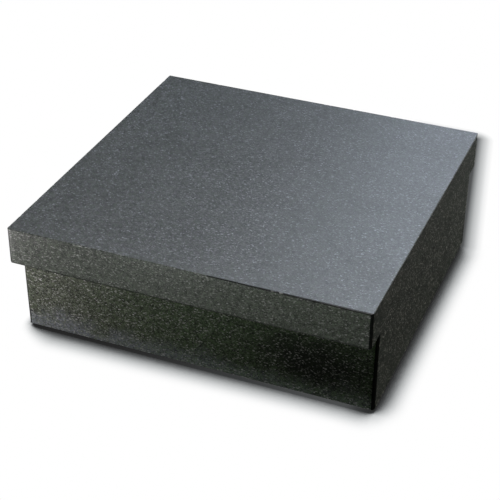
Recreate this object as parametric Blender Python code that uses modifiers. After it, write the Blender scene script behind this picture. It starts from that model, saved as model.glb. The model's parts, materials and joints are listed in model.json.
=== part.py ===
"""Granite slab with two clamping ledges, standing on three bonded rubber pads.

The stone is one sawn block.  A rebate runs the full length of its front and
back sides, so the working face overhangs the base as a lip and the end faces
show a T.  A clamp hooks under either lip.  Every outer edge is ground to a
small chamfer, and three round pads on the underside carry the weight.

X runs along the ledges, -Y is the front, +Z is up.  The origin is the middle
of the footprint, on the surface that the slab stands on.
"""
import bpy
import bmesh

# ---------------------------------------------------------------- dimensions
# Driving dimensions, in metres.

SLAB_LENGTH = 0.3048            # along X, parallel to the ledges
SLAB_WIDTH = 0.3048             # along Y, from lip to lip
SLAB_THICKNESS = 0.1045         # stone only, working face to underside
LIP_THICKNESS = 0.0325          # working face to ledge underside
LEDGE_DEPTH = 0.0195            # how far each lip overhangs the base

FACE_CHAMFER = 0.0008           # round the working face
LIP_CHAMFER = 0.0012            # lower edges of the lips
LIP_CORNER_CHAMFER = 0.0020     # upright corners of the lips
BASE_CORNER_CHAMFER = 0.0018    # upright corners of the base
UNDERSIDE_CHAMFER = 0.0020      # round the underside

PAD_DIAMETER = 0.040
PAD_THICKNESS = 0.0025
PAD_RIM_RADIUS = 0.0006
PAD_SIDE_INSET = 0.036          # end face to the front pads' nearest edge
PAD_FACE_INSET = 0.030          # base's front or back face to a pad's edge
ADHESIVE_THICKNESS = 0.0004
ADHESIVE_SETBACK = 0.0015       # how far the adhesive stays inside the pad's rim
CONTACT_GAP = 0.0003            # left between surfaces that touch

CUTTER_MARGIN = 0.010           # how far a cutter runs past the stone
ROUND_SEGMENTS = 48

# ------------------------------------------------------------ derived places

STANDING_HEIGHT = PAD_THICKNESS + ADHESIVE_THICKNESS + 2 * CONTACT_GAP
TOP_Z = STANDING_HEIGHT + SLAB_THICKNESS
LEDGE_Z = TOP_Z - LIP_THICKNESS
HALF_LENGTH = SLAB_LENGTH / 2
HALF_WIDTH = SLAB_WIDTH / 2
BASE_HALF_WIDTH = HALF_WIDTH - LEDGE_DEPTH
PAD_RADIUS = PAD_DIAMETER / 2
FRONT_PAD_X = HALF_LENGTH - PAD_SIDE_INSET - PAD_RADIUS
PAD_Y = BASE_HALF_WIDTH - PAD_FACE_INSET - PAD_RADIUS

PAD_CENTRES = {
    "front_left": (-FRONT_PAD_X, -PAD_Y),
    "front_right": (FRONT_PAD_X, -PAD_Y),
    "rear": (0.0, PAD_Y),
}

SAME_PLACE = 1e-5               # two coordinates closer than this are one


# ------------------------------------------------------------------- helpers

def clear_scene():
    """Remove whatever the file opened with."""
    for old in list(bpy.data.objects):
        bpy.data.objects.remove(old, do_unlink=True)


def new_collection(name):
    """Add a collection to the scene."""
    collection = bpy.data.collections.new(name)
    bpy.context.scene.collection.children.link(collection)
    return collection


def move_to(piece, collection):
    """Keep a piece in one collection only."""
    for old in list(piece.users_collection):
        old.objects.unlink(piece)
    collection.objects.link(piece)


def make_material(name, colour, roughness, metallic=0.0):
    """A Principled BSDF with one colour, roughness and metallic value."""
    material = bpy.data.materials.new(name)
    material.use_nodes = True
    shader = material.node_tree.nodes["Principled BSDF"]
    shader.inputs["Base Color"].default_value = (*colour, 1.0)
    shader.inputs["Roughness"].default_value = roughness
    shader.inputs["Metallic"].default_value = metallic
    return material


def add_box(name, low, high, collection):
    """A box between two corners, with its size in the mesh and not in its scale."""
    middle = [(a + b) / 2 for a, b in zip(low, high)]
    size = [b - a for a, b in zip(low, high)]
    bpy.ops.mesh.primitive_cube_add(size=1.0, location=middle)
    box = bpy.context.active_object
    box.name = name
    box.scale = size
    bpy.ops.object.transform_apply(location=False, rotation=False, scale=True)
    move_to(box, collection)
    return box


def cut_away(piece, cutter):
    """Take the cutter's shape out of the piece and keep the cutter as a guide."""
    cut = piece.modifiers.new("cut " + cutter.name, 'BOOLEAN')
    cut.operation = 'DIFFERENCE'
    cut.solver = 'EXACT'
    cut.object = cutter
    bpy.context.view_layer.objects.active = piece
    bpy.ops.object.modifier_apply(modifier=cut.name)
    cutter.hide_render = True
    cutter.display_type = 'WIRE'


# --------------------------------------------------------------------- stone

def chamfer_for(edge, place):
    """The chamfer that is ground on one edge of the stone, or 0 to leave it sharp.

    place turns a corner of the mesh into a point in the part's frame.
    """
    ends = [place @ corner.co for corner in edge.verts]
    heights = [end.z for end in ends]
    upright = abs(heights[0] - heights[1]) > SAME_PLACE
    on_lip_face = all(abs(abs(end.y) - HALF_WIDTH) < SAME_PLACE for end in ends)
    if not edge.is_convex:
        return 0.0
    if upright:
        return LIP_CORNER_CHAMFER if on_lip_face else BASE_CORNER_CHAMFER
    if abs(heights[0] - TOP_Z) < SAME_PLACE:
        return FACE_CHAMFER
    if abs(heights[0] - LEDGE_Z) < SAME_PLACE:
        return LIP_CHAMFER
    return UNDERSIDE_CHAMFER


def chamfer_edges(stone):
    """Weight every edge with its own chamfer, then bevel them in one go."""
    widest = max(FACE_CHAMFER, LIP_CHAMFER, LIP_CORNER_CHAMFER,
                 BASE_CORNER_CHAMFER, UNDERSIDE_CHAMFER)
    shape = bmesh.new()
    shape.from_mesh(stone.data)
    bmesh.ops.dissolve_limit(shape, angle_limit=0.01, verts=shape.verts, edges=shape.edges)
    shape.normal_update()
    weight = shape.edges.layers.float.new("bevel_weight_edge")
    for edge in shape.edges:
        edge[weight] = chamfer_for(edge, stone.matrix_world) / widest
    shape.to_mesh(stone.data)
    shape.free()

    bevel = stone.modifiers.new("ground edges", 'BEVEL')
    bevel.limit_method = 'WEIGHT'
    bevel.offset_type = 'OFFSET'
    bevel.width = widest
    bevel.segments = 1


def make_stone(parts, cutters, material):
    """Saw the block, cut one rebate on each side and grind the edges."""
    stone = add_box(
        "granite_block",
        (-HALF_LENGTH, -HALF_WIDTH, STANDING_HEIGHT),
        (HALF_LENGTH, HALF_WIDTH, TOP_Z),
        parts)
    for name, side in (("front_rebate", -1), ("back_rebate", 1)):
        inner_y = side * BASE_HALF_WIDTH
        outer_y = side * (HALF_WIDTH + CUTTER_MARGIN)
        cutter = add_box(
            name,
            (-HALF_LENGTH - CUTTER_MARGIN, min(inner_y, outer_y), STANDING_HEIGHT - CUTTER_MARGIN),
            (HALF_LENGTH + CUTTER_MARGIN, max(inner_y, outer_y), LEDGE_Z),
            cutters)
        cut_away(stone, cutter)
    bpy.context.view_layer.update()
    chamfer_edges(stone)
    stone.data.materials.append(material)
    return stone


# ---------------------------------------------------------------------- pads

def add_disc(name, radius, thickness, x, y, bottom_z, collection):
    """A flat round disc standing on bottom_z."""
    bpy.ops.mesh.primitive_cylinder_add(
        vertices=ROUND_SEGMENTS, radius=radius, depth=thickness,
        location=(x, y, bottom_z + thickness / 2))
    disc = bpy.context.active_object
    disc.name = name
    disc.data.shade_smooth()
    disc.data.set_sharp_from_angle(angle=0.6)
    move_to(disc, collection)
    return disc


def make_pad(place, x, y, parts, material):
    """One moulded rubber pad with a rounded rim."""
    pad = add_disc(place + "_pad", PAD_RADIUS, PAD_THICKNESS, x, y, 0.0, parts)
    rim = pad.modifiers.new("rounded rim", 'BEVEL')
    rim.limit_method = 'ANGLE'
    rim.angle_limit = 1.0
    rim.width = PAD_RIM_RADIUS
    rim.segments = 2
    pad.data.materials.append(material)
    return pad


def make_adhesive(place, x, y, parts, material):
    """The adhesive disc that bonds one pad to the stone."""
    disc = add_disc(
        place + "_pad_adhesive", PAD_RADIUS - ADHESIVE_SETBACK, ADHESIVE_THICKNESS,
        x, y, PAD_THICKNESS + CONTACT_GAP, parts)
    disc.data.materials.append(material)
    return disc


# ------------------------------------------------------------------ assembly

def main():
    clear_scene()
    parts = new_collection("granite_slab")
    cutters = new_collection("granite_slab_cutters")

    granite = make_material("black_granite", (0.055, 0.060, 0.062), 0.42)
    rubber = make_material("black_rubber", (0.020, 0.020, 0.021), 0.75)
    adhesive = make_material("pad_adhesive", (0.55, 0.53, 0.47), 0.60)

    assembly = bpy.data.objects.new("granite_slab_frame", None)
    parts.objects.link(assembly)

    pieces = [make_stone(parts, cutters, granite)]
    for place, (x, y) in PAD_CENTRES.items():
        pieces.append(make_adhesive(place, x, y, parts, adhesive))
        pieces.append(make_pad(place, x, y, parts, rubber))
    for piece in pieces:
        piece.parent = assembly


main()
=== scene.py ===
# %% [markdown]
# # A granite slab with two clamping ledges
#
# Leather is stamped, cut and skived on a slab like this, because stone doesn't
# bounce and stays flat. It is one sawn block of fine black granite. The top is
# lapped, the sides are ground, every edge has a small chamfer rubbed on by hand,
# and a rebate along two sides leaves a lip that a clamp can hook under.
#
# The measured model is loaded first and never changed. Everything after it is
# about looks: the hand-worked edges, the mineral grain, the moulded pads, the
# floor, the lights and the camera.

# %% Load the measured model
import json
import math
import random

import bmesh
import bpy
from mathutils import Matrix, Vector, noise


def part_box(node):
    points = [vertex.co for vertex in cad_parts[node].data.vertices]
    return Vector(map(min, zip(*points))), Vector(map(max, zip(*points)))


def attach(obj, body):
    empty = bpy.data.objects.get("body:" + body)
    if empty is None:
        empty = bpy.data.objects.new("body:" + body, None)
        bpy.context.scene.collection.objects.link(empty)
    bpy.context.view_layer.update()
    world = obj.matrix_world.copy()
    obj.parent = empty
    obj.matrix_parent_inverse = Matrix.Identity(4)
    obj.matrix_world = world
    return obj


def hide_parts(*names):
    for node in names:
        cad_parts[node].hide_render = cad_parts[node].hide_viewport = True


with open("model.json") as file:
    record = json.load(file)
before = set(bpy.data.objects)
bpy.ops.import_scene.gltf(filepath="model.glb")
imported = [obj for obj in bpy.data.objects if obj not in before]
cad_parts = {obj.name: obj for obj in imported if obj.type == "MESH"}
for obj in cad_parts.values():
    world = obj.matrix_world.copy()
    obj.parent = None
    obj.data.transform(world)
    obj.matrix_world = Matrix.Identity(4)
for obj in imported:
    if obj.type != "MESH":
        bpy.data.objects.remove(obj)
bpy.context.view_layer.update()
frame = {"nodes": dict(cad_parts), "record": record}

# %% [markdown]
# ## Sizes that come from the model
#
# The stone's box gives its length, width and top. The ledges aren't corners of
# that box, so they are read from the record: each ledge has a mounting point in
# the middle of its underside, which gives both its height and its depth.

# %% Read the stone's sizes
MM = 0.001

stone_low, stone_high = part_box("granite_block")
mounts = {mount["name"]: Vector(mount["pos_m"]) for mount in frame["record"]["mounts"]}

HALF_LENGTH = stone_high[0]
HALF_WIDTH = stone_high[1]
TOP_Z = stone_high[2]
UNDERSIDE_Z = stone_low[2]
LEDGE_Z = mounts["front_ledge_underside"].z
LEDGE_DEPTH = 2 * (HALF_WIDTH + mounts["front_ledge_underside"].y)
BASE_HALF_WIDTH = HALF_WIDTH - LEDGE_DEPTH

print("ledge, mm: depth", round(LEDGE_DEPTH / MM, 2), "lip", round((TOP_Z - LEDGE_Z) / MM, 2))

# %% [markdown]
# ## Sawing the block
#
# The stone is a T in section, the same along its whole length. One face with
# that outline, pulled out along X, is the quickest way to it and leaves no
# seams. The block is then sliced into short lengths. The slices don't change
# its shape, but they give the long edges many points, so that each stretch of
# an edge can be ground a little more or less than its neighbour.

# %% Draw the T and pull it along the slab
LAPPED, GROUND, ENDS, CUT, SAWN, EASED, ARRIS, BREAK = range(8)
SLICE = 6 * MM


def t_outline():
    """Corners of the T, from the front lip's top edge round to the back's."""
    return [
        (-HALF_WIDTH, TOP_Z), (-HALF_WIDTH, LEDGE_Z),
        (-BASE_HALF_WIDTH, LEDGE_Z), (-BASE_HALF_WIDTH, UNDERSIDE_Z),
        (BASE_HALF_WIDTH, UNDERSIDE_Z), (BASE_HALF_WIDTH, LEDGE_Z),
        (HALF_WIDTH, LEDGE_Z), (HALF_WIDTH, TOP_Z),
    ]


def sawn_block():
    """The T-shaped block with sharp edges, as a bmesh."""
    block = bmesh.new()
    corners = [block.verts.new((-HALF_LENGTH, y, z)) for y, z in t_outline()]
    end_face = block.faces.new(corners)
    pulled = bmesh.ops.extrude_face_region(block, geom=[end_face])["geom"]
    far_end = [item for item in pulled if isinstance(item, bmesh.types.BMVert)]
    bmesh.ops.translate(block, verts=far_end, vec=(2 * HALF_LENGTH, 0, 0))
    bmesh.ops.recalc_face_normals(block, faces=block.faces)
    return block


def slice_block(block, step):
    """Cut planes through the block at even steps along X, Y and Z."""
    spans = [(-HALF_LENGTH, HALF_LENGTH), (-HALF_WIDTH, HALF_WIDTH), (UNDERSIDE_Z, TOP_Z)]
    for axis, (start, stop) in enumerate(spans):
        normal = [float(axis == k) for k in range(3)]
        count = round((stop - start) / step)
        for k in range(1, count):
            place = start + (stop - start) * k / count
            point = [place * n for n in normal]
            everything = block.verts[:] + block.edges[:] + block.faces[:]
            bmesh.ops.bisect_plane(
                block, geom=everything, dist=1e-6, plane_co=point, plane_no=normal)


def finish_of(face):
    """Which finish a flat of the block has, from the way that it faces."""
    if face.normal.z > 0.5:
        return LAPPED
    if face.normal.z < -0.5:
        return SAWN
    if abs(face.normal.x) > 0.5:
        return ENDS
    in_rebate = abs(face.normal.y) > 0.5 and face.calc_center_median().z < LEDGE_Z
    return CUT if in_rebate else GROUND


block = sawn_block()
slice_block(block, SLICE)
for face in block.faces:
    face.material_index = finish_of(face)
print("sliced block:", len(block.verts), "points,", len(block.faces), "faces")

# %% [markdown]
# ## Grinding the edges by hand
#
# A sharp granite edge chips at the first knock, so the mason rubs each one off.
# The working face keeps the finest chamfer, because it has to stay flat right
# out to its edges, and the upright corners get the widest. A hand doesn't hold
# a width exactly: it drifts by a fifth or so along an edge, and leans more at
# some corners. The front edge has also worn wider towards the right.
#
# Blender's Bevel can take its width from a weight on each edge. Giving every
# short edge a weight from a slow noise makes the width wander smoothly, which a
# plain bevel can't do.

# %% Weight each edge with its own chamfer
WIDEST_CHAMFER = 6 * MM
FACE_CHAMFER = 0.6 * MM
LIP_CHAMFER = 1.2 * MM
# How much wider the front edge of the working face is at its right-hand end.
FRONT_WEAR = 0.8 * MM
HAND_DRIFT = 0.22
DRIFT_LENGTH = 45 * MM
NEAR = 1e-5

# Upright corners: how wide each one was rubbed.
LIP_CORNERS = {(-1, -1): 1.9 * MM, (1, -1): 2.2 * MM, (1, 1): 4.4 * MM, (-1, 1): 3.4 * MM}
BASE_CORNERS = {(-1, -1): 1.9 * MM, (1, -1): 2.8 * MM, (1, 1): 1.6 * MM, (-1, 1): 2.2 * MM}

# Round the underside, at the left end and at the right end.
UNDERSIDE_NARROW = 0.8 * MM
UNDERSIDE_WIDE = 1.2 * MM
# The knock at the front left foot.
KNOCK_DEPTH = 2.8 * MM
KNOCK_HEIGHT = 15 * MM


def smooth_step(value):
    """0 below 0, 1 above 1, and a smooth rise between."""
    value = min(max(value, 0.0), 1.0)
    return value * value * (3 - 2 * value)


def corner_chamfer(middle):
    """The chamfer on an upright edge, widening into a knock at the front left foot."""
    side = (1 if middle.x > 0 else -1, 1 if middle.y > 0 else -1)
    if middle.z > LEDGE_Z:
        return LIP_CORNERS[side]
    width = BASE_CORNERS[side]
    if side == (-1, -1):
        above_foot = (middle.z - UNDERSIDE_Z) / KNOCK_HEIGHT
        width += KNOCK_DEPTH * (1 - smooth_step(above_foot))
    return width


def chamfer_width(edge):
    """How wide the hand ground this stretch of edge."""
    middle = (edge.verts[0].co + edge.verts[1].co) / 2
    along = edge.verts[1].co - edge.verts[0].co
    if abs(along.z) > NEAR:
        width = corner_chamfer(middle)
    elif abs(middle.z - TOP_Z) < NEAR:
        width = FACE_CHAMFER
        if middle.y < -HALF_WIDTH + NEAR:
            width += FRONT_WEAR * smooth_step(middle.x / HALF_LENGTH)
    elif abs(middle.z - LEDGE_Z) < NEAR:
        width = LIP_CHAMFER
    else:
        share = smooth_step((middle.x + HALF_LENGTH) / (2 * HALF_LENGTH))
        width = UNDERSIDE_NARROW + (UNDERSIDE_WIDE - UNDERSIDE_NARROW) * share
    return width * (1 + HAND_DRIFT * noise.noise(middle / DRIFT_LENGTH))


SHARP_TURN = 0.5


def is_outer_edge(edge):
    """True where two flats of the block meet at an outer corner."""
    return len(edge.link_faces) == 2 and edge.calc_face_angle_signed() > SHARP_TURN


weight = block.edges.layers.float.new("bevel_weight_edge")
outer_edges = [edge for edge in block.edges if is_outer_edge(edge)]
for edge in outer_edges:
    edge[weight] = chamfer_width(edge) / WIDEST_CHAMFER

stone_mesh = bpy.data.meshes.new("dressed_granite_block")
block.to_mesh(stone_mesh)
block.free()
stone = bpy.data.objects.new("dressed_granite_block", stone_mesh)
bpy.context.scene.collection.objects.link(stone)
print("edges rubbed off:", len(outer_edges))

# %% [markdown]
# ## Eight finishes on one stone
#
# The same rock looks different wherever a tool has been: dull and even where it
# was lapped, streaked where it was ground, coarser on the ends, speckled where
# a wheel cut the rebates, pale where it was sawn, almost black on the rubbed
# edges, and sugary where a crumb broke off. The near black of the rubbed edges
# is partly their polish and partly painted shade, standing in for the dark lines
# of shade and dark reflection along the edges. Each finish is a material slot,
# made empty here and filled in further down.
#
# Bevel gives its new faces the slot that it is told. The edges round the top
# and round the foot are only eased, so their faces are moved to a slot of their
# own. The right part of the front top edge keeps the near-black slot: painted
# shade, dark where less light falls along the front.
# Bevel's overlap clamp is off, because it would shrink every chamfer alike, by
# as much as the tightest spot needs.

# %% Make the material slots and rub the edges
FINISHES = ["lapped granite", "ground granite", "end granite", "cut granite",
            "sawn granite", "eased granite", "rubbed granite with painted shade", "broken granite"]
granite = [bpy.data.materials.new(name) for name in FINISHES]
for material in granite:
    material.use_nodes = True
    stone_mesh.materials.append(material)

rubbed = stone.modifiers.new("hand rubbed edges", 'BEVEL')
rubbed.limit_method = 'WEIGHT'
rubbed.offset_type = 'OFFSET'
rubbed.width = WIDEST_CHAMFER
rubbed.segments = 3
rubbed.profile = 0.38
rubbed.use_clamp_overlap = False
# The chamfers take the near-black finish, which is partly painted shade.
rubbed.material = ARRIS


def bake_modifiers(piece):
    """Replace a piece's mesh by what its modifiers make of it, and drop them."""
    graph = bpy.context.evaluated_depsgraph_get()
    result = bpy.data.meshes.new_from_object(piece.evaluated_get(graph))
    piece.modifiers.clear()
    piece.data = result


# A chamfer's faces reach a little further than its width, where the hand drifted.
WITH_DRIFT = 1.3
# From here rightwards the front top edge keeps the near-black finish: painted shade.
PAINTED_SHADE_EDGE_FROM = 20 * MM


def only_eased(spot):
    """True for a spot on the chamfers of the top or the foot that takes the eased finish; the right
    part of the front top edge keeps the near-black one as painted shade.
    """
    at_top = spot.z > TOP_Z - WITH_DRIFT * FACE_CHAMFER
    at_foot = spot.z < UNDERSIDE_Z + WITH_DRIFT * UNDERSIDE_WIDE
    painted_shade_on_edge = spot.y < -HALF_WIDTH + 2 * FACE_CHAMFER and spot.x > PAINTED_SHADE_EDGE_FROM
    return (at_top or at_foot) and not painted_shade_on_edge


bake_modifiers(stone)
for face in stone.data.polygons:
    if face.material_index == ARRIS and only_eased(face.center):
        face.material_index = EASED
print("rubbed block:", len(stone.data.polygons), "faces")

# %% [markdown]
# ## Crumbs lost from the edges
#
# Even a rubbed edge loses a crumb here and there. Granite breaks in shallow
# scoops, so each loss is cut by a small lumpy ball that bites the edge from
# outside, with a Boolean. Painting the scoops would be lighter, but they would
# vanish from the outline, which is where the eye looks for them.

# %% Shape the lumpy balls
CRUMBS = 30
CRUMB_RADIUS = (0.7 * MM, 1.7 * MM)
# How deep a ball bites, and how much longer it is than wide, both as shares.
CRUMB_BITE = (0.20, 0.38)
CRUMB_STRETCH = (1.2, 2.2)
LUMP_HEIGHT = 0.16
LUMP_FINENESS = 1.7
SEED_SPREAD = 50
chance = random.Random(41)


def long_edges():
    """Start, end, outward direction and chamfer of each edge that can lose a crumb."""
    edges = []
    for side in (-1, 1):
        out = Vector((0, side, 1)).normalized()
        edges.append(((-HALF_LENGTH, side * HALF_WIDTH, TOP_Z),
                      (HALF_LENGTH, side * HALF_WIDTH, TOP_Z), out, FACE_CHAMFER))
        out = Vector((side, 0, 1)).normalized()
        edges.append(((side * HALF_LENGTH, -HALF_WIDTH, TOP_Z),
                      (side * HALF_LENGTH, HALF_WIDTH, TOP_Z), out, FACE_CHAMFER))
        out = Vector((0, side, -1)).normalized()
        edges.append(((-HALF_LENGTH, side * HALF_WIDTH, LEDGE_Z),
                      (HALF_LENGTH, side * HALF_WIDTH, LEDGE_Z), out, LIP_CHAMFER))
        edges.append(((-HALF_LENGTH, side * BASE_HALF_WIDTH, UNDERSIDE_Z),
                      (HALF_LENGTH, side * BASE_HALF_WIDTH, UNDERSIDE_Z), out, UNDERSIDE_WIDE))
    return edges


def lumpy_ball(balls, centre, along, radius):
    """Add one ball with a knobbly surface, longer along the edge than across it."""
    ball = bmesh.ops.create_icosphere(balls, subdivisions=2, radius=1.0)["verts"]
    stretch = chance.uniform(*CRUMB_STRETCH)
    seed = Vector((chance.random(), chance.random(), chance.random())) * SEED_SPREAD
    for point in ball:
        lump = 1 + LUMP_HEIGHT * noise.noise(point.co * LUMP_FINENESS + seed)
        offset = point.co * lump * radius
        offset += along * offset.dot(along) * (stretch - 1)
        point.co = centre + offset


balls = bmesh.new()
edges = long_edges()
for _ in range(CRUMBS):
    start, end, out, chamfer = chance.choice(edges)
    start, end = Vector(start), Vector(end)
    place = start.lerp(end, chance.uniform(0.03, 0.97))
    radius = chance.uniform(*CRUMB_RADIUS)
    bite = radius * chance.uniform(*CRUMB_BITE)
    centre = place + out * (radius - bite - chamfer / math.sqrt(2))
    lumpy_ball(balls, centre, (end - start).normalized(), radius)

ball_mesh = bpy.data.meshes.new("crumb_cutters")
balls.to_mesh(ball_mesh)
balls.free()
for material in granite:
    ball_mesh.materials.append(material)
for face in ball_mesh.polygons:
    face.material_index = BREAK
crumb_cutters = bpy.data.objects.new("crumb_cutters", ball_mesh)
bpy.context.scene.collection.objects.link(crumb_cutters)
print("balls to bite with:", CRUMBS)

# %% [markdown]
# ## Taking the bites and setting the shading
#
# The exact Boolean copes with balls that overlap each other and with shallow
# cuts, where the fast one can leave holes. Wide flats next to narrow chamfers
# shade badly, because smooth normals bend across the flats. A Weighted Normal
# modifier lets the largest faces decide, so that the flats stay flat and only
# the chamfers look round.

# %% Bite, set the shading and name the piece
bitten = stone.modifiers.new("lost crumbs", 'BOOLEAN')
bitten.operation = 'DIFFERENCE'
bitten.solver = 'EXACT'
bitten.use_self = True
bitten.object = crumb_cutters
bake_modifiers(stone)
bpy.data.objects.remove(crumb_cutters)

stone.data.shade_smooth()
stone.data.set_sharp_from_angle(angle=math.radians(34))
flats = stone.modifiers.new("keep the flats flat", 'WEIGHTED_NORMAL')
flats.keep_sharp = True
flats.weight = 90
print("faces by finish:", [sum(face.material_index == k for face in stone.data.polygons)
                           for k in range(len(FINISHES))])

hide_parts("granite_block")
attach(stone, "root")

# %% [markdown]
# ## Short helpers for wiring nodes
#
# A material here is a small chain of nodes, and wiring one by hand takes three
# lines for every node. These helpers cut that to one. Each takes plain values
# or the outputs of other nodes, so a chain reads like a sum.

# %% Helpers that add and wire nodes
def put(tree, kind, feeds, **settings):
    """Add a node, change its settings, and feed its inputs with sockets or plain values."""
    node = tree.nodes.new(kind)
    for name, value in settings.items():
        setattr(node, name, value)
    for name, value in feeds.items():
        if isinstance(value, bpy.types.NodeSocket):
            tree.links.new(value, node.inputs[name])
        else:
            node.inputs[name].default_value = value
    return node


def maths(tree, operation, first, second=0.0, third=0.0):
    """One sum on numbers."""
    feeds = {0: first, 1: second, 2: third}
    return put(tree, 'ShaderNodeMath', feeds, operation=operation).outputs[0]


def swing(tree, value, amount):
    """A number between 0 and 1 turned into one that swings evenly about 0."""
    return maths(tree, 'MULTIPLY_ADD', value, amount, -amount / 2)


def fade(tree, value, start, stop, low=0.0, high=1.0):
    """A smooth change from low to high as value goes from start to stop."""
    feeds = {"Value": value, "From Min": start, "From Max": stop, "To Min": low, "To Max": high}
    return put(tree, 'ShaderNodeMapRange', feeds, interpolation_type='SMOOTHSTEP').outputs[0]


def blend(tree, share, under, over, how='MIX'):
    """Two colours mixed; share is how much of the second shows."""
    feeds = {0: share, 6: under, 7: over}
    node = put(tree, 'ShaderNodeMix', feeds, data_type='RGBA', blend_type=how)
    return node.outputs[2]


def place_on_part(tree):
    """Where a point is on the part, in metres, the same whatever turns or moves it."""
    return put(tree, 'ShaderNodeTexCoord', {}).outputs["Object"]


def axes_of(tree, place):
    """A place taken apart into its X, Y and Z."""
    return put(tree, 'ShaderNodeSeparateXYZ', {0: place}).outputs


def vectors(tree, operation, first, second):
    """One sum on places, sizes or colours."""
    return put(tree, 'ShaderNodeVectorMath', {0: first, 1: second}, operation=operation).outputs[0]


def scaled(tree, vector, amount):
    """A place, size or colour times one number."""
    return put(tree, 'ShaderNodeVectorMath', {0: vector, "Scale": amount},
               operation='SCALE').outputs[0]


def noise_cloud(tree, place, per_metre, detail, roughness=0.5):
    """A cloudy number between 0 and 1."""
    return put(tree, 'ShaderNodeTexNoise', {
        "Vector": place, "Scale": per_metre, "Detail": detail, "Roughness": roughness})


def new_group(name, inputs, outputs):
    """A node group with named inputs and outputs, and the two ends to wire it to."""
    tree = bpy.data.node_groups.new(name, 'ShaderNodeTree')
    for socket, kind, value in inputs:
        made = tree.interface.new_socket(socket, in_out='INPUT', socket_type=kind)
        made.default_value = value
    for socket, kind in outputs:
        tree.interface.new_socket(socket, in_out='OUTPUT', socket_type=kind)
    ends = tree.nodes.new('NodeGroupInput').outputs, tree.nodes.new('NodeGroupOutput').inputs
    return (tree, *ends)


def use_group(tree, group, feeds):
    """Place a group in a material with its own values, and hand back its outputs."""
    return put(tree, 'ShaderNodeGroup', feeds, node_tree=group).outputs


NUMBER, COLOUR, ARROW = 'NodeSocketFloat', 'NodeSocketColor', 'NodeSocketVector'
print("slots waiting for a finish:", [material.name for material in granite])

# %% [markdown]
# ## The mineral grain
#
# Black granite is a tight mass of dark crystals about a millimetre across, with
# thin pale laths scattered through it. A Voronoi texture is the right tool,
# because each of its cells is one crystal with one random value. Two sizes of
# cell make the dark mass, and a third, stretched and tilted, makes the laths.
# All of it is read in three dimensions, so the grain runs through a corner from
# one face to the next as it does in solid rock, with no seam to hide.

# %% Group: mineral grain, its crystals
CRYSTALS_PER_METRE = 1000.0
FINE_CRYSTALS_PER_METRE = 2100.0
CLOUDS_PER_METRE = 210.0
WOBBLES_PER_METRE = 380.0
WOBBLE_REACH = 0.0011
LATH_TILT = (0.5, 0.35, 0.6)

grain_group, given, result = new_group(
    "mineral grain",
    [("Rock colour", COLOUR, (0.05, 0.05, 0.05, 1)), ("Fleck colour", COLOUR, (0.2, 0.2, 0.2, 1)),
     ("Fleck share", NUMBER, 0.12), ("Contrast", NUMBER, 0.6),
     ("Laths per metre", ARROW, (820.0, 1550.0, 1550.0))],
    [("Colour", COLOUR), ("Flecks", NUMBER), ("Relief", NUMBER)])


def random_of_cells(tree, vector, scale):
    """A random number for each crystal, twice over, as two sockets."""
    cells = put(tree, 'ShaderNodeTexVoronoi', {"Vector": vector, "Scale": scale})
    parts = put(tree, 'ShaderNodeSeparateColor', {0: cells.outputs["Color"]})
    return parts.outputs[0], parts.outputs[1]


where = place_on_part(grain_group)
wobble = noise_cloud(grain_group, where, WOBBLES_PER_METRE, 2.0).outputs["Color"]
shift = scaled(grain_group, vectors(grain_group, 'SUBTRACT', wobble, (0.5, 0.5, 0.5)), WOBBLE_REACH)
warped = vectors(grain_group, 'ADD', where, shift)

crystal, tint = random_of_cells(grain_group, warped, CRYSTALS_PER_METRE)
fine_crystal, _ = random_of_cells(grain_group, warped, FINE_CRYSTALS_PER_METRE)
tilted = put(grain_group, 'ShaderNodeMapping', {
    "Vector": warped, "Rotation": LATH_TILT, "Scale": given["Laths per metre"]}).outputs[0]
lath, lath_strength = random_of_cells(grain_group, tilted, 1.0)
clouds = noise_cloud(grain_group, where, CLOUDS_PER_METRE, 3.0).outputs["Fac"]
print("crystals per metre:", CRYSTALS_PER_METRE, "coarse,", FINE_CRYSTALS_PER_METRE, "fine")

# %% [markdown]
# ## Colouring the crystals
#
# Each crystal swings a little lighter or darker than the rock's own colour, and
# some lean towards green, as the dark minerals of such stone do. A lath whose
# random number passes a threshold is a pale fleck, and only a few are bright.
# The group also gives the flecks as a mask, because they take a better polish,
# and a relief, because the hard grains stand a little proud of the soft ones.

# %% Group: mineral grain, its colours
CRYSTAL_SWING = 0.9
CLOUD_SWING = 1.3
GREEN_TINT = (0.93, 1.04, 0.90, 1)
# Few laths are bright: their brightness follows this power of an even chance.
FEW_BRIGHT = 2.2
FAINTEST_LATH = 0.2

crystals = maths(grain_group, 'ADD', swing(grain_group, crystal, CRYSTAL_SWING),
                 swing(grain_group, fine_crystal, CRYSTAL_SWING))
spread = maths(grain_group, 'ADD', crystals, swing(grain_group, clouds, CLOUD_SWING))
tone = maths(grain_group, 'MULTIPLY_ADD', spread, given["Contrast"], 1.0)
rock = scaled(grain_group, given["Rock colour"], tone)
greener = blend(grain_group, 1.0, rock, GREEN_TINT, 'MULTIPLY')
rock = blend(grain_group, fade(grain_group, tint, 0.35, 0.65), rock, greener)

threshold = maths(grain_group, 'SUBTRACT', 1.0, given["Fleck share"])
is_fleck = maths(grain_group, 'GREATER_THAN', lath, threshold)
strength = maths(grain_group, 'POWER', lath_strength, FEW_BRIGHT)
strength = maths(grain_group, 'MULTIPLY_ADD', strength, 1.0 - FAINTEST_LATH, FAINTEST_LATH)
flecks = maths(grain_group, 'MULTIPLY', is_fleck, strength)
hardness = maths(grain_group, 'MULTIPLY_ADD', flecks, 0.5,
                 maths(grain_group, 'MULTIPLY', crystal, 0.5))
grain_group.links.new(blend(grain_group, flecks, rock, given["Fleck colour"]), result["Colour"])
grain_group.links.new(flecks, result["Flecks"])
grain_group.links.new(hardness, result["Relief"])
print("nodes in mineral grain:", len(grain_group.nodes))

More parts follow.
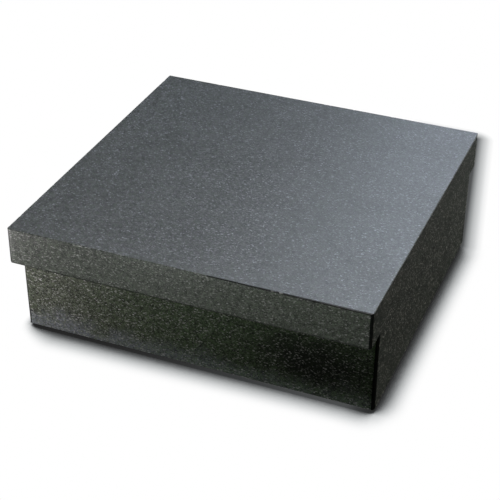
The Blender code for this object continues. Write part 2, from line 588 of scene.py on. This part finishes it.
# %% [markdown]
# ## Tool marks
#
# Each finish keeps a trace of its tool. Grinding leaves long fine streaks, so a
# noise that is squeezed across the streaks and stretched along them will do.
# With an even squeeze the same group gives the matt tooth of lapping. Polish is
# a second output: how far the gloss wanders above or below a finish's own.

# %% Group: tool marks
PATCHES_PER_METRE = 26.0
marks_group, given, result = new_group(
    "tool marks",
    [("Marks per metre", ARROW, (400.0, 400.0, 400.0)), ("Depth", NUMBER, 0.5)],
    [("Height", NUMBER), ("Polish", NUMBER)])
where = place_on_part(marks_group)
squeezed = vectors(marks_group, 'MULTIPLY', where, given["Marks per metre"])
marks = noise_cloud(marks_group, squeezed, 1.0, 4.0, 0.62).outputs["Fac"]
patches = noise_cloud(marks_group, where, PATCHES_PER_METRE, 3.0).outputs["Fac"]
polish = maths(marks_group, 'ADD', swing(marks_group, marks, 0.5),
               swing(marks_group, patches, 1.0))
marks_group.links.new(maths(marks_group, 'MULTIPLY', marks, given["Depth"]), result["Height"])
marks_group.links.new(polish, result["Polish"])
print("nodes in tool marks:", len(marks_group.nodes))

# %% [markdown]
# ## Dust and painted sheen near the bench
#
# Stone dust and bench dirt cling to the lowest centimetre of the sides, in
# patches, and make a grey film that hides the grain. On the rebates the same
# film also stands in for light reflected low on the sides: painted sheen. The
# film depends only on height, so the group reads how high a point is and breaks
# its edge with noise.

# %% Group: bench dust and painted sheen
DRIFTS_PER_METRE = 34.0
DRIFT_HEIGHT = 0.06
SPECKS_PER_METRE = 900.0
# Between two specks this share of the film is left.
BETWEEN_SPECKS = 0.15

dust_and_sheen_group, given, result = new_group(
    "bench dust and sheen",
    [("Colour", COLOUR, (0.05, 0.05, 0.05, 1)), ("Dust and sheen colour", COLOUR, (0.13, 0.14, 0.14, 1)),
     ("Amount", NUMBER, 0.5), ("Height reached", NUMBER, 0.02)],
    [("Colour", COLOUR), ("Film", NUMBER)])
where = place_on_part(dust_and_sheen_group)
height = axes_of(dust_and_sheen_group, where)["Z"]
drifts = noise_cloud(dust_and_sheen_group, where, DRIFTS_PER_METRE, 5.0, 0.6).outputs["Fac"]
drifts = maths(dust_and_sheen_group, 'SUBTRACT', drifts, 0.5)
ragged = maths(dust_and_sheen_group, 'MULTIPLY_ADD', drifts, -DRIFT_HEIGHT, height)
share_of_reach = maths(dust_and_sheen_group, 'DIVIDE', ragged, given["Height reached"])
low_down = fade(dust_and_sheen_group, share_of_reach, 1.0, 0.35)
specks = noise_cloud(dust_and_sheen_group, where, SPECKS_PER_METRE, 2.0).outputs["Fac"]
specks = fade(dust_and_sheen_group, specks, 0.35, 0.65, BETWEEN_SPECKS, 1.0)
film = maths(dust_and_sheen_group, 'MULTIPLY', maths(dust_and_sheen_group, 'MULTIPLY', low_down, specks),
             given["Amount"])
film_over_colour = blend(dust_and_sheen_group, film, given["Colour"], given["Dust and sheen colour"])
dust_and_sheen_group.links.new(film_over_colour, result["Colour"])
dust_and_sheen_group.links.new(film, result["Film"])
print("nodes in bench dust and sheen:", len(dust_and_sheen_group.nodes))

# %% [markdown]
# ## Finishing the slots
#
# Every finish has the same ingredients, and only the numbers differ, so they
# stand in one table. A rubbed edge is polished almost black and reflects little,
# and its near black is also painted shade, standing in for the dark lines of
# shade and dark reflection along the edges. Broken and sawn rock is full of tiny
# cracks that scatter light, so it is paler and duller.

# %% The table of finishes
# The film's colour: dust, and on the rebates also painted sheen.
DUST_AND_SHEEN = (0.150, 0.170, 0.190, 1)

# rock, fleck, fleck share, contrast, roughness, marks per metre, mark depth, bump, dust and painted
# sheen
LOOKS = {
    LAPPED: ((0.047, 0.049, 0.0495), (0.150, 0.160, 0.170), 0.13, 0.58, 0.42,
             (520.0, 520.0, 520.0), 0.25, 0.10, 0.0),
    GROUND: ((0.0472, 0.0535, 0.0440), (0.24, 0.25, 0.23), 0.15, 1.15, 0.42,
             (30.0, 30.0, 700.0), 0.40, 0.45, 0.0),
    ENDS: ((0.0352, 0.0395, 0.0338), (0.50, 0.50, 0.44), 0.16, 2.1, 0.46,
           (30.0, 30.0, 700.0), 0.40, 0.60, 0.0),
    # On the cut rebates the thick film is partly dust and partly painted sheen.
    CUT: ((0.0650, 0.0735, 0.0530), (0.46, 0.48, 0.44), 0.16, 1.45, 0.52,
          (90.0, 90.0, 500.0), 0.60, 0.60, 0.78),
    SAWN: ((0.085, 0.088, 0.083), (0.24, 0.25, 0.24), 0.14, 0.7, 0.62,
           (60.0, 420.0, 420.0), 1.0, 0.45, 0.15),
    EASED: ((0.040, 0.044, 0.038), (0.20, 0.21, 0.20), 0.12, 0.9, 0.40,
            (400.0, 400.0, 400.0), 0.3, 0.15, 0.0),
    # Rubbed edges: near black, partly from their polish and partly painted shade.
    ARRIS: ((0.008, 0.009, 0.008), (0.04, 0.04, 0.04), 0.06, 0.6, 0.36,
            (400.0, 400.0, 400.0), 0.3, 0.10, 0.02),
    BREAK: ((0.055, 0.058, 0.052), (0.22, 0.23, 0.21), 0.16, 0.8, 0.66,
            (900.0, 900.0, 900.0), 1.0, 0.70, 0.20),
}
LATHS = (820.0, 1550.0, 1550.0)
# The laths lie flat to the ends, where they show broader.
END_LATHS = (820.0, 700.0, 1300.0)
FILM_REACH = 0.026
# How strongly a finish reflects, where it isn't the usual half.
USUAL_SHINE = 0.5
SHINE = {CUT: 0.32, EASED: 0.25, ARRIS: 0.15}
print("finishes in the table:", len(LOOKS))

# %% [markdown]
# ## Rebate colour, with a painted dark reflection and sheen
#
# In the front rebate the rock turns greener to the right. Low down near that
# end a dark swathe is painted into the rock colour: a painted dark reflection.
# Both depend only on where a point is in the block, so a colour mixed by place
# does it, and a noise frays the edge of the swathe. A pale film lies there too,
# thick at the left and thin at the right: partly dust and partly painted sheen of
# the light from the left. The table holds the left-hand colour and film, and
# these helpers change them from there.

# %% Helpers for the cut granite
GREENER_ROCK = (0.0520, 0.0790, 0.0400)
GREEN_STARTS, GREEN_FULL = -0.13, 0.03
GREEN_BACK_EDGE = 0.05
# How much of the film of dust and painted sheen is left at the right.
DUST_AND_SHEEN_AT_RIGHT = 0.30
# Where the painted dark reflection lies, its size, and how dark it paints the rock.
DARK_REFLECTION_MIDDLE = (0.100, -0.134, 0.036)
DARK_REFLECTION_SIZE = (0.060, 0.10, 0.030)
DARK_REFLECTION_DARKNESS = 0.78
FRAY = 0.9
FRAYS_PER_METRE = 60.0


def opaque(colour):
    """A colour with its fourth number, which Blender's sockets ask for."""
    return (*colour, 1.0)


def cut_rock_and_dark_reflection(tree, rock):
    """The rebates' colour: greener to the front right, and darkened by a painted dark reflection.
    """
    where = place_on_part(tree)
    axes = axes_of(tree, where)
    to_right = fade(tree, axes["X"], GREEN_STARTS, GREEN_FULL)
    to_front = fade(tree, axes["Y"], -GREEN_BACK_EDGE, GREEN_BACK_EDGE, 1.0, 0.0)
    colour = blend(tree, maths(tree, 'MULTIPLY', to_right, to_front),
                   opaque(rock), opaque(GREENER_ROCK))
    away = vectors(tree, 'DIVIDE', vectors(tree, 'SUBTRACT', where, DARK_REFLECTION_MIDDLE), DARK_REFLECTION_SIZE)
    distance = put(tree, 'ShaderNodeVectorMath', {0: away}, operation='LENGTH').outputs["Value"]
    fray = noise_cloud(tree, where, FRAYS_PER_METRE, 4.0).outputs["Fac"]
    frayed = maths(tree, 'ADD', swing(tree, fray, FRAY), distance)
    return scaled(tree, colour, fade(tree, frayed, 0.25, 1.05, 1.0 - DARK_REFLECTION_DARKNESS, 1.0))


def cut_dust_and_sheen(tree, dust):
    """The rebates' film of dust and painted sheen, from its full amount at the left to little at
    the right.
    """
    along = axes_of(tree, place_on_part(tree))["X"]
    return fade(tree, along, -HALF_LENGTH, HALF_LENGTH, dust, DUST_AND_SHEEN_AT_RIGHT)


print("greener from", GREEN_STARTS, "to", GREEN_FULL, "m along the stone")

# %% [markdown]
# ## One chain for every finish
#
# The chain is grain, then a film over it for the colour, which is dust and, on
# the rebates, also painted sheen. The tool marks and the hard grains go into a
# bump, and the marks, flecks and film each push the roughness up or down:
# wandering polish, shiny laths, dull film. A loop fills the slots, one row of the
# table each.

# %% Fill the granite slots
MARKS_ROUGHEN = 0.16
FLECKS_ROUGHEN = -0.06
FILM_ROUGHENS = 0.30
BUMP_HEIGHT = 0.0002


def dress_granite(material, finish, look):
    """Wire one granite finish from its row of the table."""
    # The last column is the film of dust, on the rebates also painted sheen.
    rock, fleck, share, contrast, roughness, marks_per_metre, depth, bump, dust = look
    tree = material.node_tree
    shader = tree.nodes["Principled BSDF"]
    shader.inputs["Specular IOR Level"].default_value = SHINE.get(finish, USUAL_SHINE)
    is_cut = finish == CUT
    grain = use_group(tree, grain_group, {
        "Rock colour": cut_rock_and_dark_reflection(tree, rock) if is_cut else opaque(rock),
        "Fleck colour": opaque(fleck), "Fleck share": share, "Contrast": contrast,
        "Laths per metre": END_LATHS if finish == ENDS else LATHS})
    marks = use_group(tree, marks_group, {"Marks per metre": marks_per_metre, "Depth": depth})
    filmed = use_group(tree, dust_and_sheen_group, {
        "Colour": grain["Colour"], "Dust and sheen colour": DUST_AND_SHEEN,
        "Amount": cut_dust_and_sheen(tree, dust) if is_cut else dust, "Height reached": FILM_REACH})
    tree.links.new(filmed["Colour"], shader.inputs["Base Color"])
    gloss = maths(tree, 'MULTIPLY_ADD', marks["Polish"], MARKS_ROUGHEN, roughness)
    gloss = maths(tree, 'MULTIPLY_ADD', grain["Flecks"], FLECKS_ROUGHEN, gloss)
    gloss = maths(tree, 'MULTIPLY_ADD', filmed["Film"], FILM_ROUGHENS, gloss)
    tree.links.new(gloss, shader.inputs["Roughness"])
    height = maths(tree, 'ADD', grain["Relief"], marks["Height"])
    raised = put(tree, 'ShaderNodeBump',
                 {"Strength": bump, "Distance": BUMP_HEIGHT, "Height": height})
    tree.links.new(raised.outputs[0], shader.inputs["Normal"])


for finish, look in LOOKS.items():
    dress_granite(granite[finish], finish, look)
print("finished:", ", ".join(material.name for material in granite))

# %% [markdown]
# ## Moulded rubber pads
#
# Three pads let the stone stand without rocking on an uneven bench. Each is a
# moulded disc: a rounded rim, a side that leans in a degree or two so that it
# leaves the mould, and shallow rings underneath that grip. A lathe is the
# natural tool for a round part, so one profile is drawn from the centre out and
# spun once round.

# %% Spin the pads
PAD_TURNS = 96
RIM_ROUND = 0.6 * MM
DRAFT = 0.18 * MM
RING_DEPTH = 0.35 * MM
RING_HALF_WIDTH = 0.55 * MM
RINGS = (0.30, 0.48, 0.66, 0.84)


def arc(centre_r, centre_z, radius, start, stop, steps=5):
    """Points on a quarter round, as radius and height."""
    points = []
    for k in range(steps + 1):
        angle = math.radians(start + (stop - start) * k / steps)
        points.append((centre_r + radius * math.cos(angle), centre_z + radius * math.sin(angle)))
    return points


def pad_profile(radius, thickness):
    """Half a section of the pad, from the middle of the foot round to the middle of the top."""
    profile = [(0.0, RING_DEPTH), (0.10 * radius, RING_DEPTH), (0.13 * radius, 0.0)]
    for share in RINGS:
        middle = share * radius
        profile.append((middle - 2 * RING_HALF_WIDTH, 0.0))
        profile.append((middle - RING_HALF_WIDTH, RING_DEPTH))
        profile.append((middle + RING_HALF_WIDTH, RING_DEPTH))
        profile.append((middle + 2 * RING_HALF_WIDTH, 0.0))
    profile += arc(radius - RIM_ROUND, RIM_ROUND, RIM_ROUND, -90, 0)
    profile += arc(radius - DRAFT - RIM_ROUND / 2, thickness - RIM_ROUND / 2, RIM_ROUND / 2, 0, 90)
    profile.append((0.0, thickness))
    return profile


def spun(name, profile, centre):
    """A closed round body: one profile spun about an upright axis."""
    body = bmesh.new()
    points = [body.verts.new((r, 0, z)) for r, z in profile]
    edges = [body.edges.new(pair) for pair in zip(points, points[1:])]
    bmesh.ops.spin(body, geom=points + edges, cent=(0, 0, 0), axis=(0, 0, 1),
                   angle=math.tau, steps=PAD_TURNS, use_merge=True)
    bmesh.ops.remove_doubles(body, verts=body.verts, dist=1e-6)
    bmesh.ops.recalc_face_normals(body, faces=body.faces)
    bmesh.ops.translate(body, verts=body.verts, vec=centre)
    mesh = bpy.data.meshes.new(name)
    body.to_mesh(mesh)
    body.free()
    mesh.shade_smooth()
    mesh.set_sharp_from_angle(angle=math.radians(40))
    piece = bpy.data.objects.new(name, mesh)
    bpy.context.scene.collection.objects.link(piece)
    return piece


PAD_CORNERS = ("front_left", "front_right", "rear")
pads = []
for corner in PAD_CORNERS:
    low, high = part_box(corner + "_pad")
    middle = (Vector(low) + Vector(high)) / 2
    radius = (high[0] - low[0]) / 2
    profile = pad_profile(radius, high[2] - low[2])
    pad = spun("moulded_" + corner + "_pad", profile, (middle.x, middle.y, low[2]))
    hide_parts(corner + "_pad")
    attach(pad, "root")
    pads.append(pad)
print("pads:", len(pads), "with", len(pads[0].data.polygons), "faces each")

# %% [markdown]
# ## Rubber
#
# Black rubber isn't black: it has a dull bloom, and it picks up bench dust. The
# mould leaves a fine pebbled skin. Dust comes from the same group as on the
# stone.

# %% Finish the rubber
RUBBER_DARK = (0.016, 0.016, 0.017, 1)
RUBBER_BLOOM = (0.034, 0.034, 0.035, 1)
PEBBLES_PER_METRE = 1400.0
SKIN_HEIGHT = 0.0001

rubber = bpy.data.materials.new("moulded rubber")
rubber.use_nodes = True
tree = rubber.node_tree
shader = tree.nodes["Principled BSDF"]
where = place_on_part(tree)
pebbles = put(tree, 'ShaderNodeTexVoronoi',
              {"Vector": where, "Scale": PEBBLES_PER_METRE}).outputs["Distance"]
bloom = noise_cloud(tree, where, 70.0, 4.0).outputs["Fac"]
skin = blend(tree, fade(tree, bloom, 0.35, 0.7), RUBBER_DARK, RUBBER_BLOOM)
filmed = use_group(tree, dust_and_sheen_group, {
    "Colour": skin, "Dust and sheen colour": DUST_AND_SHEEN, "Amount": 0.35, "Height reached": 0.004})
tree.links.new(filmed["Colour"], shader.inputs["Base Color"])
tree.links.new(fade(tree, bloom, 0.2, 0.8, 0.58, 0.78), shader.inputs["Roughness"])
pebbled = put(tree, 'ShaderNodeBump',
              {"Strength": 0.4, "Distance": SKIN_HEIGHT, "Height": pebbles})
tree.links.new(pebbled.outputs[0], shader.inputs["Normal"])
for pad in pads:
    pad.data.materials.append(rubber)
print("rubber on", len(pads), "pads")

# %% [markdown]
# ## Glue
#
# The glue is a double-sided film of which only the rim shows, grey with lint.
# A disc so thin has no shape to add, so it stays the measured piece with a
# finish put in its slots.

# %% Finish the glue
GLUE_CLEAN = (0.30, 0.29, 0.26, 1)
GLUE_LINTY = (0.16, 0.155, 0.14, 1)

glue = bpy.data.materials.new("glue film")
glue.use_nodes = True
tree = glue.node_tree
shader = tree.nodes["Principled BSDF"]
where = place_on_part(tree)
lint = noise_cloud(tree, where, 500.0, 5.0).outputs["Fac"]
film = blend(tree, fade(tree, lint, 0.4, 0.7), GLUE_CLEAN, GLUE_LINTY)
tree.links.new(film, shader.inputs["Base Color"])
tree.links.new(fade(tree, lint, 0.2, 0.8, 0.38, 0.62), shader.inputs["Roughness"])
rippled = put(tree, 'ShaderNodeBump', {"Strength": 0.3, "Distance": SKIN_HEIGHT, "Height": lint})
tree.links.new(rippled.outputs[0], shader.inputs["Normal"])

for corner in PAD_CORNERS:
    node = frame["nodes"][corner + "_pad_adhesive"]
    for place in node.material_slots:
        place.material = glue
print("glue on", len(PAD_CORNERS), "bonding discs")

# %% [markdown]
# ## Floor
#
# The floor is a plain pale sheet, so bright that it reads as white paper. It is
# kept out of bounced light, reflections and shadows, because a bright floor
# would wash out the dark sides of the stone.

# %% Lay the floor
FLOOR_HALF = 6.0

floor_mesh = bpy.data.meshes.new("floor")
floor_mesh.from_pydata(
    [(-FLOOR_HALF, -FLOOR_HALF, 0), (FLOOR_HALF, -FLOOR_HALF, 0),
     (FLOOR_HALF, FLOOR_HALF, 0), (-FLOOR_HALF, FLOOR_HALF, 0)], [], [(0, 1, 2, 3)])
floor = bpy.data.objects.new("floor", floor_mesh)
bpy.context.scene.collection.objects.link(floor)
floor.visible_diffuse = False
floor.visible_glossy = False
floor.visible_shadow = False
print("floor:", 2 * FLOOR_HALF, "m wide")

# %% [markdown]
# ## Halo round the foot
#
# A soft dark halo lies where the stone stands. An Ambient Occlusion node
# measures how much of the sky each spot of floor is hidden from by what stands
# near it, which is just what makes such a halo. It reaches less far at the left
# end, which faces a lamp.

# %% Measure the open sky over the floor
HALO_REACH = 0.031
LEFT_HALO_REACH = 0.011
RIGHT_HALO_SHARE = 0.86
SKY_SEEN_AT_FOOT = 0.46
SKY_SEEN_IN_OPEN = 0.985
# The halo is measured along a line that leans a little off upright.
LEAN = (-0.10, 0.04, 1.0)

paper = bpy.data.materials.new("pale floor")
paper.use_nodes = True
tree = paper.node_tree
tree.nodes.remove(tree.nodes["Principled BSDF"])
leaning = put(tree, 'ShaderNodeCombineXYZ', dict(zip("XYZ", LEAN))).outputs[0]
axes = axes_of(tree, place_on_part(tree))
across, deep = axes["X"], axes["Y"]
reach = fade(tree, across, -HALF_LENGTH - 0.012, -HALF_LENGTH + 0.03, LEFT_HALO_REACH, HALO_REACH)
at_right = fade(tree, across, HALF_LENGTH, HALF_LENGTH + 0.015, 1.0, RIGHT_HALO_SHARE)
reach = maths(tree, 'MULTIPLY', reach, at_right)
hidden = put(tree, 'ShaderNodeAmbientOcclusion',
             {"Distance": reach, "Normal": leaning}, samples=24)
open_sky = put(tree, 'ShaderNodeMapRange', {
    "Value": hidden.outputs["AO"],
    "From Min": SKY_SEEN_AT_FOOT, "From Max": SKY_SEEN_IN_OPEN}).outputs[0]
print("halo reaches, m:", LEFT_HALO_REACH, "at the left,", HALO_REACH, "in front")

# %% [markdown]
# ## Light under the front edge
#
# The stone stands a few millimetres clear of the floor on its pads. Bright
# paper in front of it lights that gap, the more so towards the right, but not
# under the right-hand end. So the open sky is raised there by a share that
# grows along the front and dies away round the corner.

# %% Lift the gap under the front edge
GAP_LIGHT = 0.15
LIGHT_STARTS, LIGHT_FULL = -0.10, 0.14
DIES_ROUND_CORNER = 0.85
UNDER_STONE = (-0.126, -0.110)

lift = fade(tree, across, LIGHT_STARTS, LIGHT_FULL, 0.0, GAP_LIGHT)
under_end = maths(tree, 'MULTIPLY',
                  fade(tree, across, HALF_LENGTH - 0.03, HALF_LENGTH - 0.015),
                  fade(tree, deep, *UNDER_STONE))
past_corner = fade(tree, across, HALF_LENGTH - 0.026, HALF_LENGTH - 0.002)
near_end = maths(tree, 'MAXIMUM', under_end, past_corner)
kept = maths(tree, 'MULTIPLY_ADD', near_end, -DIES_ROUND_CORNER, 1.0)
lift = maths(tree, 'MULTIPLY', lift, kept)
room = maths(tree, 'MULTIPLY_ADD', open_sky, -0.5, 1.0)
open_sky = maths(tree, 'MULTIPLY_ADD', lift, room, open_sky)
print("light under the front edge, at most:", GAP_LIGHT)

# %% [markdown]
# ## Cast shadow
#
# A lamp in front throws one long soft shadow off the right-hand end, slanting
# back. It could come from a lamp, but this floor glows by itself and takes no
# shadows, so it is drawn: the distance from a slanted strip of the stone's
# width, turned into the same open-sky number. The smooth smaller of the two
# numbers joins shadow and halo without a crease.

# %% Draw the cast shadow
SHADOW_SLANT = 0.192
SHADOW_NEAR = 0.07
SHADOW_FAR = 0.343
SHADOW_EDGE = 0.021
SHADOW_INSIDE = 0.085
SHADOW_DARKEST = 0.17
JOINING = 0.06

behind = maths(tree, 'MAXIMUM', maths(tree, 'SUBTRACT', deep, BASE_HALF_WIDTH), 0.0)
sideways = maths(tree, 'MULTIPLY_ADD', behind, SHADOW_SLANT, across)
past_side = maths(tree, 'SUBTRACT', maths(tree, 'ABSOLUTE', sideways), HALF_LENGTH)
from_middle = maths(tree, 'ABSOLUTE',
                    maths(tree, 'SUBTRACT', deep, (SHADOW_NEAR + SHADOW_FAR) / 2))
past_end = maths(tree, 'SUBTRACT', from_middle, (SHADOW_FAR - SHADOW_NEAR) / 2)
outside = put(tree, 'ShaderNodeCombineXYZ', {
    "X": maths(tree, 'MAXIMUM', past_side, 0.0),
    "Y": maths(tree, 'MAXIMUM', past_end, 0.0)}).outputs[0]
distance = put(tree, 'ShaderNodeVectorMath', {0: outside}, operation='LENGTH').outputs["Value"]
shadow = put(tree, 'ShaderNodeMapRange', {
    "Value": distance, "From Min": 0.0, "From Max": SHADOW_EDGE,
    "To Min": SHADOW_DARKEST, "To Max": 1.0}).outputs[0]
# Only the strip's right-hand edge is dark: inwards it fades out again.
inside = maths(tree, 'SUBTRACT', HALF_LENGTH, sideways)
light_inside = fade(tree, inside, 0.0, SHADOW_INSIDE, SHADOW_DARKEST, 1.0)
shadow = maths(tree, 'MAXIMUM', shadow, light_inside)
open_sky = maths(tree, 'SMOOTH_MIN', open_sky, shadow, JOINING)
print("cast shadow, m: from", SHADOW_NEAR, "to", SHADOW_FAR, "behind the middle")

# %% [markdown]
# ## From open sky to paper
#
# One colour ramp turns the open-sky number into paper, from nearly black where
# the sky is hidden to white in the open. An Emission shader shows that colour
# as it is, whatever the lamps do. The back of the sheet is clear, so that the
# underside can be looked at from below.

# %% Colour the paper and clear its back
# How bright the paper is for each share of open sky.
HALO = [(0.10, 0.045), (0.20, 0.105), (0.27, 0.22), (0.37, 0.37), (0.45, 0.50),
        (0.60, 0.67), (0.74, 0.86), (0.92, 1.0)]
DARKEST_PAPER = (0.02, 0.02, 0.02, 1)
# Half-dark paper is a little bluer than white paper.
LESS_RED = 0.05
MORE_BLUE = 0.02

halo = put(tree, 'ShaderNodeValToRGB', {"Fac": open_sky})
halo.color_ramp.elements[0].color = DARKEST_PAPER
halo.color_ramp.elements[1].position = HALO[-1][0]
for share, brightness in HALO[:-1]:
    red = brightness * (1 - LESS_RED * (1 - brightness))
    blue = brightness * (1 + MORE_BLUE * (1 - brightness))
    halo.color_ramp.elements.new(share).color = (red, brightness, blue, 1)
glow = put(tree, 'ShaderNodeEmission', {"Color": halo.outputs["Color"]})
clear = put(tree, 'ShaderNodeBsdfTransparent', {})
from_below = put(tree, 'ShaderNodeNewGeometry', {}).outputs["Backfacing"]
sheet = put(tree, 'ShaderNodeMixShader',
            {0: from_below, 1: glow.outputs[0], 2: clear.outputs[0]})
tree.links.new(sheet.outputs[0], tree.nodes["Material Output"].inputs["Surface"])
floor_mesh.materials.append(paper)
print("shades of paper:", len(halo.color_ramp.elements))

# %% [markdown]
# ## Backdrop
#
# The backdrop is plain white, but only straight from the camera. Lit by it, the
# stone's dark sides would turn grey, so all other rays find it nearly black.

# %% A white backdrop that gives almost no light
AMBIENT = 0.01

sky = bpy.data.worlds.new("studio")
bpy.context.scene.world = sky
sky.use_nodes = True
tree = sky.node_tree
backdrop = tree.nodes["Background"]
backdrop.inputs["Color"].default_value = (1, 1, 1, 1)
seen = put(tree, 'ShaderNodeLightPath', {}).outputs["Is Camera Ray"]
tree.links.new(fade(tree, seen, 0.0, 1.0, AMBIENT, 1.0), backdrop.inputs["Strength"])
print("ambient light:", AMBIENT)

# %% [markdown]
# ## Lights
#
# A dark stone shows only what it reflects, so the lights are set as for black
# glass. Two cool softboxes hang above and behind and wash the top, and a key
# lamp stands high in front. A small lamp close to the front left corner lights
# the front and dies away along it. Pale cards on the floor in front throw a
# little light up under the lip. Lamps at both ends, and a weak one below, keep
# the stone readable from every other side.

# %% Hang the lights
STRAIGHT_UP = 1.0


def softbox(name, place, size, watts, colour, towards=None):
    """A flat lamp of the given width and depth, pointing at a place, or straight down."""
    lamp = bpy.data.lights.new(name, 'AREA')
    lamp.shape = 'RECTANGLE'
    lamp.size, lamp.size_y = size
    lamp.energy = watts
    lamp.color = colour
    holder = bpy.data.objects.new(name, lamp)
    bpy.context.scene.collection.objects.link(holder)
    holder.location = place
    if towards is not None:
        aim = Vector(towards) - Vector(place)
        holder.rotation_mode = 'QUATERNION'
        holder.rotation_quaternion = aim.to_track_quat('-Z', 'Y')
    holder.visible_camera = False
    return holder


MIDDLE = (0.0, 0.0, 0.06)
ALONG_FRONT = (0.72, -0.47, 0.06)
END = (0.15, 0.0, 0.05)
FAR_END = (0.15, 0.10, 0.05)
LEFT_END = (-0.15, 0.0, 0.05)

# name, place, size, watts, colour, what it points at
LAMPS = [
    ("key lamp", (0.095, -0.354, 0.882), (0.12, 0.12), 10.8, (1.03, 1.0, 1.065), MIDDLE),
    ("overhead softbox", (0.03, 0.45, 0.60), (0.30, 0.70), 2.38, (0.88, 1.0, 1.16), None),
    ("rear softbox", (0.03, 0.90, 0.60), (0.30, 0.70), 3.35, (0.91, 1.0, 1.22), None),
    ("corner lamp", (-0.28, -0.22, 0.06), (0.06, 0.06), 0.59, (1.08, 1.0, 1.06), ALONG_FRONT),
    ("end softbox", (1.20, 0.30, 0.30), (0.60, 0.40), 3.10, (1.03, 1.0, 0.92), END),
    ("far end lamp", (0.50, 0.60, 0.15), (0.20, 0.20), 1.20, (0.97, 1.0, 1.05), FAR_END),
    ("left card", (-0.10, -0.36, 0.004), (0.12, 0.10), 0.165, (0.95, 1.0, 0.97),
     (-0.10, -0.36, STRAIGHT_UP)),
    ("right card", (0.05, -0.36, 0.004), (0.12, 0.10), 0.055, (0.85, 1.0, 0.75),
     (0.05, -0.36, STRAIGHT_UP)),
    ("left softbox", (-1.0, 0.25, 0.05), (0.60, 0.08), 4.0, (1.0, 1.0, 1.0), LEFT_END),
    ("under lamp", (0.0, 0.0, -0.45), (0.30, 0.30), 0.3, (1.0, 1.0, 1.0), MIDDLE),
]
for lamp in LAMPS:
    softbox(*lamp)
print("lamps hung:", len(LAMPS))

# %% [markdown]
# ## Camera
#
# A long lens from more than a metre away keeps the block's far edges nearly
# parallel to the near ones. The camera stands to the right of the front face
# and looks down on the top by about a third of a right angle.

# %% Place the camera
AZIMUTH = math.radians(21.996)
ELEVATION = math.radians(32.643)
ROLL = math.radians(0.479)
DISTANCE = 1.19064
AIM = Vector((-0.0017, -0.0100, 0.0412))
LENS = 99.26
SENSOR = 36

camera_data = bpy.data.cameras.new("camera")
camera_data.sensor_width = SENSOR
camera_data.lens = LENS
camera_data.clip_start = 0.01
camera_data.clip_end = 50
camera = bpy.data.objects.new("camera", camera_data)
bpy.context.scene.collection.objects.link(camera)
bpy.context.scene.camera = camera

back = Vector((math.sin(AZIMUTH) * math.cos(ELEVATION),
               -math.cos(AZIMUTH) * math.cos(ELEVATION), math.sin(ELEVATION)))
right = Vector((math.cos(AZIMUTH), math.sin(AZIMUTH), 0))
up = back.cross(right)
turned_right = right * math.cos(ROLL) + up * math.sin(ROLL)
turned_up = up * math.cos(ROLL) - right * math.sin(ROLL)
turn = Matrix((turned_right, turned_up, back)).transposed().to_4x4()
camera.matrix_world = Matrix.Translation(AIM + back * DISTANCE) @ turn
bpy.context.scene.view_settings.view_transform = 'Standard'
print("camera:", DISTANCE, "m away, lens", LENS, "mm")
